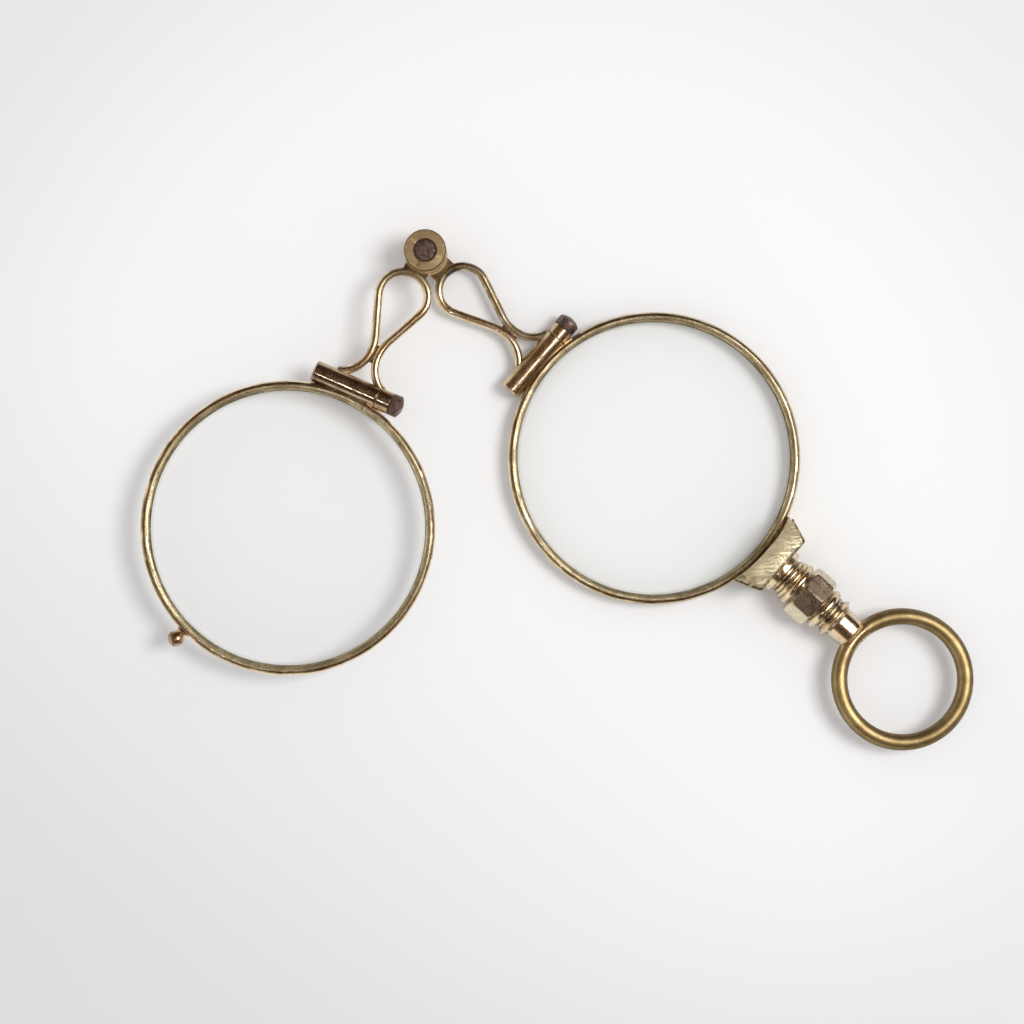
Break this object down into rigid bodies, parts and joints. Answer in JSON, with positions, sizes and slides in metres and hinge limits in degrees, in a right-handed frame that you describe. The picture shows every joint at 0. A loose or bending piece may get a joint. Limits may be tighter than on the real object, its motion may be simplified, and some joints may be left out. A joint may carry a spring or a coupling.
{
  "type": "lorgnette",
  "caption": "Folding lorgnette: round lenses in split rims on wire loops, joined by a sprung hub, with a catch block, turned stem and finger ring.",
  "frame": {"origin": "on the hub's axis, on the plane of the hub's lower end and the catch block's lower face", "axes": "+X from the hub along the fixed lens, the stem and the finger ring; +Z along the hub's axis, towards the swinging lens's level"},
  "size_m": [0.1005, 0.0787, 0.0074],
  "materials": {
    "hub_gold": "worn satin",
    "rusty_steel": "rough, rusted",
    "spring_steel": "plain",
    "rim_gold": "polished, fine scratches along the crest",
    "lens_glass": "clear",
    "tube_gold": "polished",
    "wire_gold": "polished",
    "block_gold": "brushed, worn pale",
    "stem_gold": "polished",
    "knop_gold": "polished facets",
    "core_brass": "plain",
    "ring_brass": "satin"
  },
  "bodies": {
    "handle_side": {"lower_knuckle": "hub_gold", "hub_rivet": "rusty_steel", "hub_spring": "spring_steel", "right_rim": "rim_gold", "right_lens": "lens_glass", "right_long_tube": "tube_gold", "right_short_tube": "tube_gold", "right_closing_screw": "rusty_steel", "right_loop": "wire_gold", "catch_block": "block_gold", "catch_spring": "spring_steel", "stem_collar": "stem_gold", "octagonal_knop": "knop_gold", "stem_shoulder": "stem_gold", "ring_ferrule": "stem_gold", "stem_core": "core_brass", "finger_ring": "ring_brass"},
    "folding_side": {"upper_knuckle": "hub_gold", "left_rim": "rim_gold", "left_lens": "lens_glass", "left_long_tube": "tube_gold", "left_short_tube": "tube_gold", "left_closing_screw": "rusty_steel", "left_loop": "wire_gold", "thumb_knob": "wire_gold"}
  },
  "joints": [
    {"name": "hub_fold", "type": "hinge", "parent": "handle_side", "child": "folding_side", "pos_m": [0, 0, 0], "axis": [0, 0, 1], "range_deg": [0, 74.5], "stiffness_Nm_per_rad": 0.00096, "springref_deg": -148.97, "deforming": ["hub_spring"]}
  ]
}
